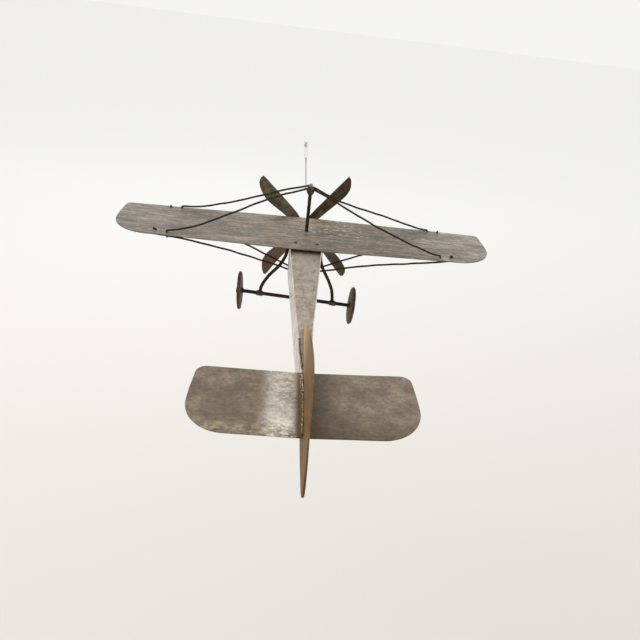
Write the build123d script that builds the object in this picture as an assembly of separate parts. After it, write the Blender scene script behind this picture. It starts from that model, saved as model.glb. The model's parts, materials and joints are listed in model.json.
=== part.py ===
"""Wire-braced high-wing model aeroplane made by hand from sheet metal and wire.

The model is laid out about the middle of the wing: X is the right wing, Y the nose, Z up, with
Z = 0 on the wing's upper surface. Every piece is then moved so that the origin is the head of the
kingpost, where the model hangs. All sizes are in millimetres.
"""
from build123d import *
from math import atan, degrees, radians, tan
import os

# Wing
HALF_SPAN = 252.6
LEADING_Y = 57.3
TRAILING_Y = -54.8
FRONT_CORNER_X = 252.0
REAR_CORNER_X = 249.0
LEADING_SWEEP = 0.030
TRAILING_SWEEP = 0.034
WING_THICKNESS = 1.4
SCREW_X = 14.0
SCREW_Y = -35.0
SCREW_RADIUS = 1.5

# Kingpost and bracing wires
MAST_Y = 6.0
MAST_RADIUS = 2.3
HEAD_HEIGHT = 60.0
FOOT_HEIGHT = -63.0
BRACE_RADIUS = 1.25
BRACE_CLEARANCE = 0.05
HOLE_BEND = 2.4
NUB_BEND = 1.4
NUB_HEIGHT = 1.9
LARGEST_BEND = 300.0
UPPER_HOLE_X = 177.0
UPPER_HOLE_FRONT_Y = 47.5
UPPER_HOLE_REAR_Y = -41.0
LOWER_HOLE_X = 191.5
LOWER_HOLE_FRONT_Y = 46.0
LOWER_HOLE_REAR_Y = -37.0

# Fuselage, a sheet-metal wedge
SHEET = 1.0
NOSE_Y = 56.0
WEDGE_START_Y = -43.0
TAIL_END_Y = -338.0
NOSE_HALF_WIDTH = 22.0
WEDGE_HALF_WIDTH = 21.0
TAIL_HALF_WIDTH = 1.7
DECK_FRONT_Y = -46.0
DECK_REAR_Y = -322.0
DECK_FRONT_Z = -6.0
DECK_TAIL_Z = 8.0
BELLY_FRONT_Z = -41.0
BELLY_TAIL_Z = -26.0
LIP = 0.3

# Tail
FIN_THICKNESS = 1.4
FIN_LEAN = 0.4
FIN_TOE = 0.6
FIN_TURN_Y = -355.0
FIN_TURN_Z = 10.0
FIN_ROOT_Z = -4.0
FIN_ROOT_FRONT_Y = -236.0
TAIL_THICKNESS = 1.2
TAIL_TOP_Z = 6.0
TAIL_LEADING_Y = -312.5
TAIL_TRAILING_Y = -385.0
TAIL_HALF_SPAN = 88.4
RIGHT_TAIL_DIHEDRAL = 2.8
SOLDER_RADIUS = 1.5

# Undercarriage, which sits a little to the left and low on the right
GEAR_Y = 22.0
AXLE_RADIUS = 2.7
STRUT_RADIUS = 2.4
LEFT_WHEEL = (-89.9, -110.4)
RIGHT_WHEEL = (79.8, -120.5)
LEFT_JOINT_X = -60.5
RIGHT_JOINT_X = 50.6
WHEEL_RADIUS = 28.6
WHEEL_HALF_THICKNESS = 3.1
WHEEL_CLEARANCE = 0.06
LEFT_WHEEL_CANT = -5.5

# Propeller, pinned a little to the left of the middle
PROP_X = -2.8
PROP_Z = -18.9
PROP_PIN_RADIUS = 1.6
PROP_CLEARANCE = 0.06
BAR_THICKNESS = 1.2
BLADE_PITCH = 17.0
SPACER_FRONT_Y = 63.4
LEFT_BAR_ANGLE = 136.5
RIGHT_BAR_ANGLE = 51.0
BLADE_ROOT = 12.0

# Hanger
HANGER_PIVOT = Vector(-6.5, 8.13, 61.25)
HANGER_RADIUS = 0.55
HANGER_EYE_RADIUS = 2.15
SMALL_EYE_RADIUS = 1.9
HANGER_TOP = 36.4
LOOP_RADIUS = 0.35
KNOT_RADIUS = 2.4
KNOT_LOW = 51.3
KNOT_HEIGHT = 6.3
HANG_DIRECTION = Vector(-0.083, 0.535, 0.841)

TO_HEAD = Pos(0, -MAST_Y, -HEAD_HEIGHT)


def save(name, shape):
    """Write one piece, moved so that the kingpost's head is the origin."""
    export_step(TO_HEAD * shape, f"parts/{name}.step")


def bend_radii(points, tight):
    """The arc at each corner of a route: as large as its two runs allow, or as tight says for that corner."""
    corners = [Vector(*p) for p in points]
    radii = []
    for before, here, after in zip(corners, corners[1:], corners[2:]):
        shorter = min((here - before).length, (after - here).length)
        half_turn = radians((here - before).get_angle(after - here)) / 2
        radii.append(min(0.45 * shorter / tan(half_turn), LARGEST_BEND))
    for corner, radius in tight.items():
        radii[corner] = radius
    return radii


def rod(points, radius, tight):
    """A round rod along straight runs joined by arcs; tight gives chosen corners their own arc radius."""
    path = FilletPolyline(*points, radius=bend_radii(points, tight))
    section = Plane(origin=path @ 0, z_dir=path % 0) * Circle(radius)
    return sweep(section, path=path)


def bar(start, end, radius):
    """A straight round bar between two points."""
    path = Line(start, end)
    return sweep(Plane(origin=path @ 0, z_dir=path % 0) * Circle(radius), path=path)


def upright(x, y, low, high, radius):
    """A vertical cylinder."""
    return Pos(x, y, low) * extrude(Circle(radius), high - low)


def mirrored_x(shape):
    return mirror(shape, about=Plane.YZ)


def round_corners(face, corners):
    """Round a flat face's corners; corners pairs the distance of each from X = 0 with its radius."""
    for corner_x, radius in corners:
        chosen = [v for v in face.vertices() if abs(abs(v.X) - corner_x) < 0.2]
        face = fillet(chosen, radius)
    return face


def between(value, start, end, low, high):
    """Straight-line interpolation from low at start to high at end."""
    return low + (high - low) * (value - start) / (end - start)


# ---------------------------------------------------------------- wing

def wing_outline():
    """The wing's plan: nearly straight edges, small front corners and large round rear corners."""
    right = [(FRONT_CORNER_X, LEADING_Y - LEADING_SWEEP * FRONT_CORNER_X), (HALF_SPAN, 14.0),
             (REAR_CORNER_X, TRAILING_Y + TRAILING_SWEEP * REAR_CORNER_X)]
    left = [(-x, y) for x, y in reversed(right)]
    face = make_face(Polyline((0, LEADING_Y), *right, (0, TRAILING_Y), *left, close=True))
    return round_corners(face, ((FRONT_CORNER_X, 6.0), (HALF_SPAN, 60.0), (REAR_CORNER_X, 52.0)))


def wing():
    body = Pos(0, 0, -WING_THICKNESS) * extrude(wing_outline(), WING_THICKNESS)
    body = fillet(body.edges().group_by(Axis.Z)[-1], 0.5)
    body -= upright(0, MAST_Y, -10, 10, MAST_RADIUS)
    for side in (-1, 1):
        body -= upright(side * SCREW_X, SCREW_Y, -10, 10, SCREW_RADIUS)
        for x, y in ((UPPER_HOLE_X, UPPER_HOLE_FRONT_Y), (UPPER_HOLE_X, UPPER_HOLE_REAR_Y),
                     (LOWER_HOLE_X, LOWER_HOLE_FRONT_Y), (LOWER_HOLE_X, LOWER_HOLE_REAR_Y)):
            body -= upright(side * x, y, -10, 10, BRACE_RADIUS + BRACE_CLEARANCE)
    return body


def wing_screws():
    """Two round-headed screws that hold the wing down to the block below it."""
    screws = []
    for side in (-1, 1):
        head = extrude(Circle(2.7), 1.2)
        head = fillet(head.edges().group_by(Axis.Z)[-1], 0.9)
        shank = Pos(0, 0, -14) * extrude(Circle(SCREW_RADIUS), 14.5)
        screws.append(Pos(side * SCREW_X, SCREW_Y, 0) * (head + shank))
    return Compound(children=screws)


# ---------------------------------------------------------------- kingpost and bracing

def mast():
    return upright(0, MAST_Y, FOOT_HEIGHT - 9, HEAD_HEIGHT + 2.2, MAST_RADIUS)


def mast_cap():
    cap = upright(0, MAST_Y, HEAD_HEIGHT + 2.2, HEAD_HEIGHT + 6.2, 2.5)
    return fillet(cap.edges().group_by(Axis.Z)[-1], 1.8)


def binding(z_list):
    """A barrel of bound wire round the kingpost; z_list pairs heights with radii."""
    outline = Polyline(*[(radius, z) for z, radius in z_list])
    low = z_list[0][0]
    high = z_list[-1][0]
    close = Polyline((z_list[-1][1], high), (MAST_RADIUS, high), (MAST_RADIUS, low), (z_list[0][1], low))
    return Pos(0, MAST_Y, 0) * revolve(Plane.XZ * make_face(outline + close), Axis.Z)


def head_binding():
    return binding([(51, 3.0), (53, 4.2), (55.5, 5.4), (58, 5.4), (60.3, 4.6), (62.2, 3.3)])


def foot_binding():
    return binding([(FOOT_HEIGHT - 6, 3.3), (FOOT_HEIGHT - 4, 4.4),
                    (FOOT_HEIGHT + 4, 4.4), (FOOT_HEIGHT + 6, 3.3)])


def upper_end(side, y):
    """Where an upper wire drops through its hole in the wing."""
    return [(side * (UPPER_HOLE_X - 11), y * 0.97, 3.6), (side * UPPER_HOLE_X, y, 2.7),
            (side * UPPER_HOLE_X, y, -7.0)]


def upper_left_front():
    return [(-2.6, 7.2, 62.6), (-35, 14.9, 51.4), (-67, 22.0, 37.6), (-103, 30.4, 22.6), (-143, 40.0, 8.6)]


def upper_left_rear():
    return [(-2.6, 4.9, 60.1), (-36, -3.6, 50.8), (-62, -10.2, 41.5), (-99, -20.0, 25.4), (-140, -31.2, 8.4)]


def upper_right_front():
    return [(2.6, 7.1, 61.5), (38, 14.8, 43.8), (72, 22.6, 33.0), (110, 31.6, 22.0), (146, 40.2, 10.0)]


def upper_right_rear():
    return [(2.6, 4.7, 59.6), (37, -3.9, 47.0), (56, -9.0, 38.2), (92, -18.7, 25.0), (134, -29.8, 11.2)]


def lower_start(side, y, nub):
    """Where a lower wire, bent over on top of the wing by the offset nub, goes down through its hole."""
    x = side * LOWER_HOLE_X
    return [(x + nub[0], y + nub[1], NUB_HEIGHT), (x, y, NUB_HEIGHT), (x, y, -WING_THICKNESS - 4.2)]


def lower_end(side, forward):
    return [(side * 2.5, MAST_Y + forward, FOOT_HEIGHT - 0.6)]


LOWER_MIDDLES = {
    "lower_wire_left_front": (-1, LOWER_HOLE_FRONT_Y, (-0.6, 1.9), 1.6,
                              [(-160, 39.2, -13.0), (-82, 23.0, -35.5)]),
    "lower_wire_left_rear": (-1, LOWER_HOLE_REAR_Y, (-3.6, 0.4), -1.6,
                             [(-160, -29.6, -11.6), (-95, -15.5, -30.0)]),
    "lower_wire_right_front": (1, LOWER_HOLE_FRONT_Y, (0.6, 1.9), 1.6,
                               [(158, 38.6, -14.0), (76, 21.6, -37.5)]),
    "lower_wire_right_rear": (1, LOWER_HOLE_REAR_Y, (2.2, -2.8), -1.6,
                              [(156, -28.8, -16.0), (92, -14.5, -32.4)]),
}

UPPER_MIDDLES = {
    "upper_wire_left_front": (-1, UPPER_HOLE_FRONT_Y, upper_left_front()),
    "upper_wire_left_rear": (-1, UPPER_HOLE_REAR_Y, upper_left_rear()),
    "upper_wire_right_front": (1, UPPER_HOLE_FRONT_Y, upper_right_front()),
    "upper_wire_right_rear": (1, UPPER_HOLE_REAR_Y, upper_right_rear()),
}


# ---------------------------------------------------------------- fuselage

def half_width(y):
    """Outer half width of the fuselage at y."""
    if y > WEDGE_START_Y:
        return between(y, NOSE_Y, WEDGE_START_Y, NOSE_HALF_WIDTH, WEDGE_HALF_WIDTH)
    return between(y, WEDGE_START_Y, TAIL_END_Y, WEDGE_HALF_WIDTH, TAIL_HALF_WIDTH)


def deck_z(y):
    """Upper surface of the deck at y."""
    return between(y, DECK_FRONT_Y, TAIL_END_Y, DECK_FRONT_Z, DECK_TAIL_Z)


def belly_z(y):
    """Lower surface of the belly at y."""
    if y > WEDGE_START_Y:
        return BELLY_FRONT_Z
    return between(y, WEDGE_START_Y, TAIL_END_Y, BELLY_FRONT_Z, BELLY_TAIL_Z)


def side_prism(points, low=-60.0, high=60.0):
    """A side-view outline in Y and Z, extended across the model from x = low to x = high."""
    outline = make_face(Polyline(*points, close=True))
    face = Plane(origin=(low, 0, 0), x_dir=(0, 1, 0), z_dir=(1, 0, 0)) * outline
    return extrude(face, high - low)


def plan_prism(points):
    """A plan outline in X and Y, extended up and down through the model."""
    return Pos(0, 0, -80) * extrude(make_face(Polyline(*points, close=True)), 160)


def fuselage_side(side):
    stations = (NOSE_Y, WEDGE_START_Y, TAIL_END_Y)
    outer = [(side * half_width(y), y) for y in stations]
    inner = [(side * (half_width(y) - SHEET), y) for y in reversed(stations)]
    profile = [(NOSE_Y, -WING_THICKNESS), (-55, -WING_THICKNESS), (-70, deck_z(-70) + LIP),
               (TAIL_END_Y, DECK_TAIL_Z + LIP), (TAIL_END_Y, BELLY_TAIL_Z),
               (WEDGE_START_Y, BELLY_FRONT_Z), (NOSE_Y, BELLY_FRONT_Z)]
    return (plan_prism(outer + inner) & side_prism(profile)) - fin_rudder()


def inside_plan(front, rear):
    """Plan of the space between the fuselage's two sides."""
    stations = [y for y in (front, WEDGE_START_Y, rear) if rear <= y <= front]
    right = [(half_width(y) - SHEET, y) for y in stations]
    left = [(-x, y) for x, y in reversed(right)]
    return plan_prism(right + left)


def fuselage_deck():
    slab = side_prism([(DECK_FRONT_Y, deck_z(DECK_FRONT_Y)), (DECK_REAR_Y, deck_z(DECK_REAR_Y)),
                       (DECK_REAR_Y, deck_z(DECK_REAR_Y) - SHEET),
                       (DECK_FRONT_Y, deck_z(DECK_FRONT_Y) - SHEET)])
    return (inside_plan(DECK_FRONT_Y, DECK_REAR_Y) & slab) - fin_rudder()


def fuselage_belly():
    rear = DECK_REAR_Y
    slab = side_prism([(NOSE_Y, BELLY_FRONT_Z), (WEDGE_START_Y, BELLY_FRONT_Z), (rear, belly_z(rear)),
                       (rear, belly_z(rear) + SHEET), (WEDGE_START_Y, BELLY_FRONT_Z + SHEET),
                       (NOSE_Y, BELLY_FRONT_Z + SHEET)])
    belly = inside_plan(NOSE_Y, rear) & slab
    return belly - upright(0, MAST_Y, -60, 0, MAST_RADIUS)


def cross_block(front, rear, low, high):
    """A block that fills the fuselage from side to side."""
    slab = side_prism([(front, low), (rear, low), (rear, high), (front, high)])
    return inside_plan(front, rear) & slab


def nose_block():
    block = cross_block(NOSE_Y, NOSE_Y - 18, BELLY_FRONT_Z + SHEET, -WING_THICKNESS)
    return block - bar((PROP_X, NOSE_Y - 16, PROP_Z), (PROP_X, NOSE_Y + 10, PROP_Z), PROP_PIN_RADIUS)


def nose_plate():
    face = Rectangle(2 * NOSE_HALF_WIDTH, -WING_THICKNESS - BELLY_FRONT_Z)
    centre_z = (BELLY_FRONT_Z - WING_THICKNESS) / 2
    plate = extrude(Plane(origin=(0, NOSE_Y, centre_z), x_dir=(1, 0, 0), z_dir=(0, 1, 0)) * face, 2.0)
    plate = fillet(plate.edges().filter_by(Axis.Y), 3.0)
    return plate - bar((PROP_X, NOSE_Y - 5, PROP_Z), (PROP_X, NOSE_Y + 10, PROP_Z), PROP_PIN_RADIUS)


def mast_former():
    block = cross_block(MAST_Y + 6, MAST_Y - 6, BELLY_FRONT_Z + SHEET, -WING_THICKNESS)
    return block - upright(0, MAST_Y, -60, 10, MAST_RADIUS)


def screw_former():
    block = cross_block(SCREW_Y + 5, SCREW_Y - 5, -22, -WING_THICKNESS)
    for side in (-1, 1):
        block -= upright(side * SCREW_X, SCREW_Y, -14, 10, SCREW_RADIUS)
    return block


# ---------------------------------------------------------------- tail

def fin_face():
    """Side outline of the fin and rudder, cut from one plate."""
    top = Spline((FIN_ROOT_FRONT_Y, 2.0), (-256, 18.5), (-277, 31.5), (-305, 45.0), (-336, 56.5),
                 (-362, 63.6),
                 (-381, 65.6), (-394, 59.5), (-405, 46.0), (-415, 30.0), (-424, 14.0), (-428, 0.0))
    post_y = TAIL_END_Y - 0.1
    heel = Spline((-428, 0.0), (-424.5, -8.0), (-410, -15.0), (-388, -21.0), (-362, -24.8),
                  (post_y, BELLY_TAIL_Z))
    root = Polyline((post_y, BELLY_TAIL_Z), (post_y, FIN_ROOT_Z), (FIN_ROOT_FRONT_Y, FIN_ROOT_Z),
                    (FIN_ROOT_FRONT_Y, 2.0))
    return make_face(top + heel + root)


def fin_rudder():
    """The fin, which leans and is toed a little to the right."""
    face = Plane(origin=(-FIN_THICKNESS / 2, 0, 0), x_dir=(0, 1, 0), z_dir=(1, 0, 0)) * fin_face()
    pivot = Pos(0, FIN_TURN_Y, FIN_TURN_Z)
    return pivot * Rot(0, FIN_LEAN, FIN_TOE) * pivot.inverse() * extrude(face, FIN_THICKNESS)


def tailplane_half(side, gap):
    """Half of the tailplane in plan; gap is the room left at its root for solder."""
    front_corner = TAIL_HALF_SPAN - 1.0
    rear_corner = TAIL_HALF_SPAN - 0.4
    face = make_face(Polyline(
        (half_width(TAIL_LEADING_Y) + gap, TAIL_LEADING_Y), (front_corner, TAIL_LEADING_Y),
        (TAIL_HALF_SPAN + 0.2, -342), (rear_corner, TAIL_TRAILING_Y),
        (FIN_THICKNESS / 2 + gap, TAIL_TRAILING_Y),
        (FIN_THICKNESS / 2 + gap, TAIL_END_Y), (TAIL_HALF_WIDTH + gap, TAIL_END_Y), close=True))
    face = round_corners(face, ((front_corner, 9.0), (TAIL_HALF_SPAN + 0.2, 60.0), (rear_corner, 32.0)))
    half = Pos(0, 0, TAIL_TOP_Z - TAIL_THICKNESS) * extrude(face, TAIL_THICKNESS)
    return half if side > 0 else mirrored_x(half)


def tailplane_left():
    return tailplane_half(-1, 0.0) - fin_rudder()


def tailplane_right():
    pivot = Pos(FIN_THICKNESS / 2, 0, TAIL_TOP_Z)
    raised = pivot * Rot(0, -RIGHT_TAIL_DIHEDRAL, 0) * pivot.inverse() * tailplane_half(1, 0.15)
    return raised - fin_rudder()


def tail_solder(side, tailplane):
    """Solder fillets on top of the joint between a tailplane half, the fuselage and the fin."""
    along_side = bar((side * half_width(TAIL_LEADING_Y - 1), TAIL_LEADING_Y - 1, TAIL_TOP_Z),
                     (side * TAIL_HALF_WIDTH, TAIL_END_Y, TAIL_TOP_Z), SOLDER_RADIUS)
    along_fin = bar((side * FIN_THICKNESS / 2, TAIL_END_Y, TAIL_TOP_Z),
                    (side * FIN_THICKNESS / 2, TAIL_TRAILING_Y + 3, TAIL_TOP_Z), SOLDER_RADIUS)
    outside = Pos(side * (20 + FIN_THICKNESS / 2), -350, TAIL_TOP_Z + 20) * Box(40, 90, 40)
    bead = (along_side + along_fin) & outside
    return bead - fuselage_side(side) - fuselage_deck() - fin_rudder() - tailplane


def seam_solder():
    """A rough bead along the left edge of the deck, ahead of the tailplane."""
    front = -262.0
    rear = -308.0
    start = (-half_width(front) + SHEET, front, deck_z(front))
    end = (-half_width(rear) + SHEET, rear, deck_z(rear))
    bead = bar(start, end, 0.9)
    return bead - fuselage_side(-1) - fuselage_deck()


# ---------------------------------------------------------------- undercarriage

def axle_slope():
    return (RIGHT_WHEEL[1] - LEFT_WHEEL[1]) / (RIGHT_WHEEL[0] - LEFT_WHEEL[0])


def axle_z(x):
    return LEFT_WHEEL[1] + axle_slope() * (x - LEFT_WHEEL[0])


def on_axle(x):
    """Placement at x on the axle, with local Z along the axle towards the right wing."""
    return Pos(x, GEAR_Y, axle_z(x)) * Rot(0, 90 - degrees(atan(axle_slope())), 0)


def strut(points, joint_x):
    """A bent rod from the fuselage's side down to the axle."""
    route = [(x, GEAR_Y, z) for x, z in points] + [(joint_x, GEAR_Y, axle_z(joint_x))]
    axle_hole = on_axle(joint_x) * Cylinder(AXLE_RADIUS, 20)
    return rod(route, STRUT_RADIUS, {}) - strut_joint(joint_x) - axle_hole


def strut_joint(joint_x):
    """The brazed lump where a strut meets the axle."""
    lump = fillet(Cylinder(4.0, 10).edges(), 1.2)
    return on_axle(joint_x) * (lump - Cylinder(AXLE_RADIUS, 20))


def left_strut():
    return strut([(-24.15, -27.0), (-24.15, -44.0), (-32.6, -62.5), (-48.4, -81.0), (-57.9, -98.0)],
                 LEFT_JOINT_X)


def right_strut():
    return strut([(24.15, -27.0), (24.3, -46.5), (29.4, -62.0), (39.6, -79.0), (47.8, -97.0)], RIGHT_JOINT_X)


def axle():
    """The axle rod with a hammered head outside each wheel."""
    left = LEFT_WHEEL[0] - WHEEL_HALF_THICKNESS - 0.6
    right = RIGHT_WHEEL[0] + WHEEL_HALF_THICKNESS + 0.6
    left_end = left - 0.9
    right_end = right + 0.9
    shaft = bar((left_end, GEAR_Y, axle_z(left_end)), (right_end, GEAR_Y, axle_z(right_end)), AXLE_RADIUS)
    head = fillet(Cylinder(3.6, 1.8).edges(), 0.8)
    return shaft + on_axle(left_end) * head + on_axle(right_end) * head


def wheel_stop(x, side):
    """The solder ring that keeps a wheel from sliding inwards."""
    ring = fillet(Cylinder(4.0, 2.0).edges(), 0.6) - Cylinder(AXLE_RADIUS, 10)
    return on_axle(x - side * (WHEEL_HALF_THICKNESS + 1.6)) * ring


def wheel(x, cant):
    """A domed solid disc that turns on the axle; cant tips the disc on its hub."""
    rim = WHEEL_RADIUS
    crown = WHEEL_HALF_THICKNESS
    edge = 1.9
    outline = Line((0, crown), (6, crown)) + ThreePointArc((6, crown), (17, 2.9), (rim - edge, edge))
    outline += ThreePointArc((rim - edge, edge), (rim, 0), (rim - edge, -edge))
    outline += ThreePointArc((rim - edge, -edge), (17, -2.9), (6, -crown)) + Line((6, -crown), (0, -crown))
    disc = revolve(Plane.XZ * make_face(outline + Line((0, -crown), (0, crown))), Axis.Z)
    bore = Cylinder(AXLE_RADIUS + WHEEL_CLEARANCE, 40)
    hub = Cylinder(5.5, 2 * crown)
    return on_axle(x) * ((Rot(0, cant, 0) * disc) + hub - bore)


# ---------------------------------------------------------------- propeller

# Each blade, from its root out along its straight edge, then round the tip and back along its bowed edge.
UPPER_LEFT_BLADE = ([(BLADE_ROOT, -6.0), (26, -8.6), (91, -9.0)],
                    [(91, -9.0), (94.8, -7.4), (95.2, -4.0), (93.2, 0.9), (89.0, 4.6), (82.4, 7.9),
                     (75.5, 10.1),
                     (66.0, 11.2), (55.9, 10.2), (44.7, 8.6), (30.0, 6.8), (BLADE_ROOT, 6.0)])
LOWER_RIGHT_BLADE = ([(BLADE_ROOT, -3.5), (48.9, -4.4), (75.3, -8.2), (97.0, -10.3)],
                     [(97.0, -10.3), (100.1, -8.3), (99.8, -3.8), (95.8, 2.2), (90.6, 5.8), (81.0, 8.7),
                      (69.6, 10.2), (59.0, 10.1), (40.0, 8.4), (BLADE_ROOT, 6.0)])
UPPER_RIGHT_BLADE = ([(BLADE_ROOT, 6.0), (26, 8.4), (97.2, 8.8)],
                     [(97.2, 8.8), (99.6, 7.0), (99.0, 3.1), (94.7, -2.6), (90.0, -6.8), (84.1, -9.6),
                      (76.9, -11.0), (67.2, -10.9), (55.9, -9.9), (37.2, -8.1), (BLADE_ROOT, -6.0)])
LOWER_LEFT_BLADE = ([(BLADE_ROOT, 6.0), (45.4, 7.4), (69.1, 8.6), (93.0, 10.9)],
                    [(93.0, 10.9), (96.6, 10.4), (97.7, 8.6), (96.4, 4.7), (92.1, -1.2), (85.6, -6.8),
                     (79.5, -9.8), (69.2, -11.2), (53.1, -9.8), (32.0, -7.6), (BLADE_ROOT, -6.0)])


def blade_face(blade):
    straight, bowed = blade
    return make_face(Polyline(*straight) + Spline(*bowed) + Line(bowed[-1], straight[0]))


def prop_bar(angle, low_y, blades):
    """A strip that crosses the hub and widens into two pitched blades."""
    solid = Box(2 * BLADE_ROOT + 4, 12, BAR_THICKNESS)
    for turn, blade in zip((0, 180), blades):
        plate = Pos(0, 0, -BAR_THICKNESS / 2) * extrude(blade_face(blade), BAR_THICKNESS)
        solid += Rot(0, 0, turn) * Rot(BLADE_PITCH, 0, 0) * plate
    solid -= Cylinder(PROP_PIN_RADIUS + PROP_CLEARANCE, 20)
    facing_back = Plane(origin=(PROP_X, low_y + BAR_THICKNESS / 2, PROP_Z), x_dir=(1, 0, 0), z_dir=(0, -1, 0))
    return facing_back.location * Rot(0, 0, angle) * solid


def prop_disc(low_y, high_y, radius, bore):
    ring = bar((PROP_X, low_y, PROP_Z), (PROP_X, high_y, PROP_Z), radius)
    return ring - bar((PROP_X, low_y - 1, PROP_Z), (PROP_X, high_y + 1, PROP_Z), bore)


def prop_spacer():
    return prop_disc(NOSE_Y + 2, SPACER_FRONT_Y, 4.5, PROP_PIN_RADIUS)


def prop_boss():
    low = SPACER_FRONT_Y + 0.2 + 2 * BAR_THICKNESS
    return prop_disc(low, low + 1.6, 7.0, PROP_PIN_RADIUS + PROP_CLEARANCE)


def prop_pin():
    under_head = SPACER_FRONT_Y + 0.4 + 2 * BAR_THICKNESS + 1.6
    shank = bar((PROP_X, NOSE_Y - 16, PROP_Z), (PROP_X, under_head, PROP_Z), PROP_PIN_RADIUS)
    head = bar((PROP_X, under_head, PROP_Z), (PROP_X, under_head + 2.2, PROP_Z), 3.6)
    return shank + fillet(head.edges().group_by(Axis.Y)[-1], 1.6)


# ---------------------------------------------------------------- hanger

def hanger_place():
    """Placement of the hanger: local X across the model, local Z along the hanging line."""
    return Plane(origin=HANGER_PIVOT, x_dir=Vector(0.9965, 0.0447, 0.0699), z_dir=HANG_DIRECTION).location


def ring(radius, thickness, height):
    """A wire ring that stands in the plane across local X."""
    return Pos(0, 0, height) * Rot(0, 90, 0) * Torus(radius, thickness)


def hanger_wire():
    shank = upright(0, 0, HANGER_EYE_RADIUS - 0.2, HANGER_TOP - 2 * SMALL_EYE_RADIUS + 0.2, HANGER_RADIUS)
    lower = hanger_place() * shank
    straight_eye = Pos(*hanger_place().position) * Rot(0, 90, 0) * Torus(HANGER_EYE_RADIUS, HANGER_RADIUS)
    upper = hanger_place() * ring(SMALL_EYE_RADIUS, HANGER_RADIUS, HANGER_TOP - SMALL_EYE_RADIUS)
    return lower + straight_eye + upper


LOOP_LOW = HANGER_TOP - 1.0
LOOP_END = KNOT_LOW + 1.4
LOOP_ROUTE = [(-0.7, 0, LOOP_END), (-1.6, 0, 46.8), (-1.3, 0, 40.4), (-0.95, 0, LOOP_LOW),
              (0.95, 0, LOOP_LOW),
              (1.3, 0, 40.8), (1.7, 0, 46.2), (0.7, 0, LOOP_END)]


def hanging_loop():
    return hanger_place() * rod(LOOP_ROUTE, LOOP_RADIUS, {})


def loop_knot():
    knot = upright(0, 0, KNOT_LOW, KNOT_LOW + KNOT_HEIGHT, KNOT_RADIUS)
    return hanger_place() * fillet(knot.edges(), 1.4)


# ---------------------------------------------------------------- all pieces

def main():
    os.makedirs("parts", exist_ok=True)
    save("wing", wing())
    save("wing_screws", wing_screws())
    save("mast", mast())
    save("mast_cap", mast_cap())
    save("mast_head_binding", head_binding())
    save("mast_foot_binding", foot_binding())
    for name, (side, hole_y, middle) in UPPER_MIDDLES.items():
        wire = rod(middle + upper_end(side, hole_y), BRACE_RADIUS, {-1: HOLE_BEND})
        save(name, wire - head_binding() - mast() - mast_cap())
    for name, (side, hole_y, nub, forward, middle) in LOWER_MIDDLES.items():
        route = lower_start(side, hole_y, nub) + middle + lower_end(side, forward)
        wire = rod(route, BRACE_RADIUS, {0: NUB_BEND, 1: HOLE_BEND})
        save(name, wire - foot_binding() - mast())
    save("fuselage_left_side", fuselage_side(-1))
    save("fuselage_right_side", fuselage_side(1))
    save("fuselage_deck", fuselage_deck())
    save("fuselage_belly", fuselage_belly())
    save("nose_block", nose_block())
    save("nose_plate", nose_plate())
    save("mast_former", mast_former())
    save("screw_former", screw_former())
    save("fin_rudder", fin_rudder())
    save("tailplane_left", tailplane_left())
    save("tailplane_right", tailplane_right())
    save("tail_solder_left", tail_solder(-1, tailplane_left()))
    save("tail_solder_right", tail_solder(1, tailplane_right()))
    save("seam_solder", seam_solder())
    save("left_strut", left_strut())
    save("right_strut", right_strut())
    save("axle", axle())
    save("left_strut_joint", strut_joint(LEFT_JOINT_X))
    save("right_strut_joint", strut_joint(RIGHT_JOINT_X))
    save("left_wheel", wheel(LEFT_WHEEL[0], LEFT_WHEEL_CANT))
    save("right_wheel", wheel(RIGHT_WHEEL[0], 0))
    save("left_wheel_stop", wheel_stop(LEFT_WHEEL[0], -1))
    save("right_wheel_stop", wheel_stop(RIGHT_WHEEL[0], 1))
    left_bar_y = SPACER_FRONT_Y + 0.2
    right_bar_y = left_bar_y + BAR_THICKNESS
    save("prop_bar_left", prop_bar(LEFT_BAR_ANGLE, left_bar_y, (UPPER_LEFT_BLADE, LOWER_RIGHT_BLADE)))
    save("prop_bar_right", prop_bar(RIGHT_BAR_ANGLE, right_bar_y, (UPPER_RIGHT_BLADE, LOWER_LEFT_BLADE)))
    save("prop_boss", prop_boss())
    save("prop_spacer", prop_spacer())
    save("prop_pin", prop_pin())
    save("hanger_wire", hanger_wire())
    save("hanging_loop", hanging_loop())
    save("loop_knot", loop_knot())
    print("loop arc radii, mm:", [round(radius, 2) for radius in bend_radii(LOOP_ROUTE, {})])


main()
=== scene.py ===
"""Looks of the wire-braced sheet-metal model aeroplane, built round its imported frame.

Sheets, rods and wires start from their CAD surfaces, which are cut into small cells, dented and roughened.
Wheels, screws, bindings, propeller blades and the hanger's line are built here from their own outlines.
at(x, y, z) takes millimetres from the middle of the wing's top, as the part's own layout does.
"""
import json
from math import atan2, cos, pi, radians, sin, sqrt

import bmesh
import bpy
from mathutils import Matrix, Vector, noise


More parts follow.
